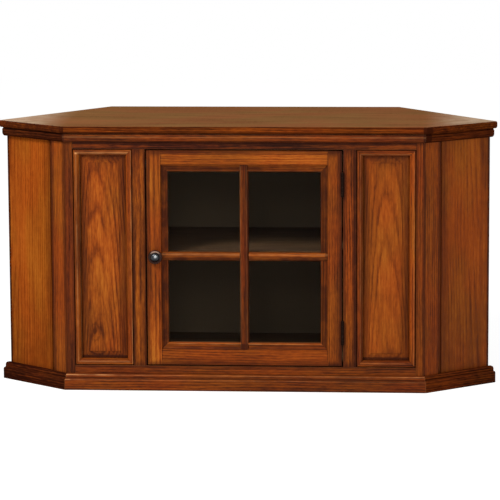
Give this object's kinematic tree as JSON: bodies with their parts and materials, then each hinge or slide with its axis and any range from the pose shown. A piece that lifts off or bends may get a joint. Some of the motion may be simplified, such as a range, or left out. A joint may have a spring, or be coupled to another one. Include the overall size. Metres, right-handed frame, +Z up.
{
  "type": "corner tv stand",
  "caption": "Corner television stand: canted sides, raised side panels and a four-light glazed door on butt hinges over a shelved compartment.",
  "frame": {"origin": "on the floor, at the middle of the overall box from knob tip to rear edge", "axes": "+X to the viewer's right, -Y out of the front, +Z up"},
  "size_m": [1.18, 0.436, 0.625],
  "materials": {
    "frame_wood": "burnished stain under satin varnish",
    "panel_wood": "burnished stain under satin varnish",
    "top_wood": "stained top with a satin wax finish",
    "inside_wood": "dark matt stain",
    "back_board": "smooth hardboard, dull",
    "clear_glass": "clear polished",
    "dark_bronze": "oil-rubbed dark bronze",
    "screw_metal": "plain zinc",
    "catch_plastic": "brown moulded plastic"
  },
  "bodies": {
    "carcase": {"back_side_left": "panel_wood", "back_side_right": "panel_wood", "bottom_rail": "frame_wood", "catch_magnet": "catch_plastic", "corner_post_left": "frame_wood", "corner_post_right": "frame_wood", "cornice_front": "frame_wood", "cornice_left": "frame_wood", "cornice_right": "frame_wood", "deck_panel": "inside_wood", "frieze_rail": "frame_wood", "glue_blocks": "back_board", "hinge_lower_fixed_leaf": "dark_bronze", "hinge_pins": "dark_bronze", "hinge_screws_fixed": "screw_metal", "hinge_stile": "frame_wood", "hinge_upper_fixed_leaf": "dark_bronze", "outer_stile_left": "frame_wood", "outer_stile_right": "frame_wood", "panel_moulding_left_bottom": "frame_wood", "panel_moulding_left_left": "frame_wood", "panel_moulding_left_right": "frame_wood", "panel_moulding_left_top": "frame_wood", "panel_moulding_right_bottom": "frame_wood", "panel_moulding_right_left": "frame_wood", "panel_moulding_right_right": "frame_wood", "panel_moulding_right_top": "frame_wood", "partition_left": "inside_wood", "partition_right": "inside_wood", "plinth_front": "frame_wood", "plinth_left": "frame_wood", "plinth_right": "frame_wood", "raised_panel_left": "panel_wood", "raised_panel_right": "panel_wood", "rear_panel": "back_board", "shelf_pins": "screw_metal", "side_panel_left": "panel_wood", "side_panel_right": "panel_wood", "strike_stile": "frame_wood", "top_panel": "top_wood"},
    "door": {"catch_plate": "screw_metal", "door_glass": "clear_glass", "door_rail_bottom": "frame_wood", "door_rail_top": "frame_wood", "door_stile_hinge": "frame_wood", "door_stile_knob": "frame_wood", "glass_bead_bottom": "frame_wood", "glass_bead_left": "frame_wood", "glass_bead_right": "frame_wood", "glass_bead_top": "frame_wood", "hinge_lower_swing_leaf": "dark_bronze", "hinge_screws_swing": "screw_metal", "hinge_upper_swing_leaf": "dark_bronze", "knob": "dark_bronze", "knob_screw": "screw_metal", "muntin_bar_left": "frame_wood", "muntin_bar_right": "frame_wood", "muntin_upright": "frame_wood"},
    "shelf": {"shelf": "inside_wood"}
  },
  "joints": [
    {"name": "door_hinge", "type": "hinge", "parent": "carcase", "child": "door", "pos_m": [0.2295, -0.1995, 0.31375], "axis": [0, 0, 1], "range_deg": [0, 170]},
    {"name": "shelf_lift", "type": "slide", "parent": "carcase", "child": "shelf", "axis": [0, 0, 1], "range_m": [0, 0.06]}
  ]
}
